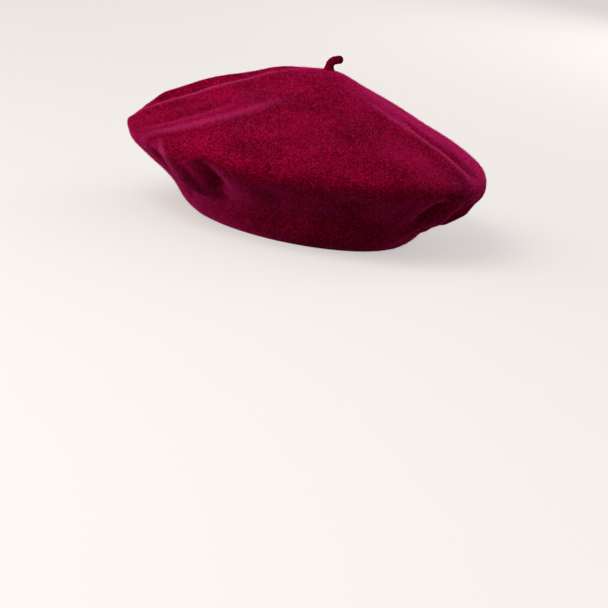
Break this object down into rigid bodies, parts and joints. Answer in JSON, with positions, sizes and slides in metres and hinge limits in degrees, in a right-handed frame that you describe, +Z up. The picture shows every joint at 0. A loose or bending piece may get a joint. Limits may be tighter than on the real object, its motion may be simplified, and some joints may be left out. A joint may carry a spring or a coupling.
{
  "type": "beret",
  "caption": "Soft wool felt beret with a wide draped crown, turned-in hem, inner sweatband and a short felt stalk at the top.",
  "frame": {"origin": "centre of the head opening, in the plane of the hem's lower edge", "axes": "+Z up through the crown, -Y toward the wearer's front, +X toward the wearer's left"},
  "size_m": [0.2852, 0.2949, 0.1374],
  "materials": {
    "felt_body": "fulled wool felt, brushed nap",
    "stay_tape": "woven tape",
    "hem_stitching": "spun thread",
    "sweatband": "smooth dark leather",
    "band_stitching": "spun thread",
    "join_stitching": "spun thread",
    "bow_ribbon": "ribbed ribbon",
    "bow_knot": "ribbed ribbon",
    "care_label": "blank satin ribbon",
    "care_label_tack": "spun thread",
    "size_tag": "blank woven tag",
    "size_tag_stitching": "spun thread",
    "stalk_root": "felted yarn",
    "root_stitching": "spun thread",
    "stalk": "felted yarn"
  },
  "bodies": {
    "cap": {"felt_body": "felt_body", "stay_tape": "stay_tape", "hem_stitching": "hem_stitching", "sweatband": "sweatband", "band_stitching": "band_stitching", "join_stitching": "join_stitching", "bow_ribbon": "bow_ribbon", "bow_knot": "bow_knot", "care_label_tack": "care_label_tack", "size_tag": "size_tag", "size_tag_stitching": "size_tag_stitching", "stalk_root": "stalk_root", "root_stitching": "root_stitching"},
    "stalk": {"stalk": "stalk"},
    "care_label": {"care_label": "care_label"}
  },
  "joints": [
    {"name": "stalk_bend", "type": "hinge", "parent": "cap", "child": "stalk", "pos_m": [-0.00544, 0.00254, 0.1283], "axis": [0.4226, 0.9063, 0], "range_deg": [-30, 75], "stiffness_Nm_per_rad": 0.0003},
    {"name": "care_label_flip", "type": "hinge", "parent": "cap", "child": "care_label", "pos_m": [0.0699, 0.02569, 0.0236], "axis": [-0.2301, 0.9732, 0], "range_deg": [0, 105]}
  ]
}
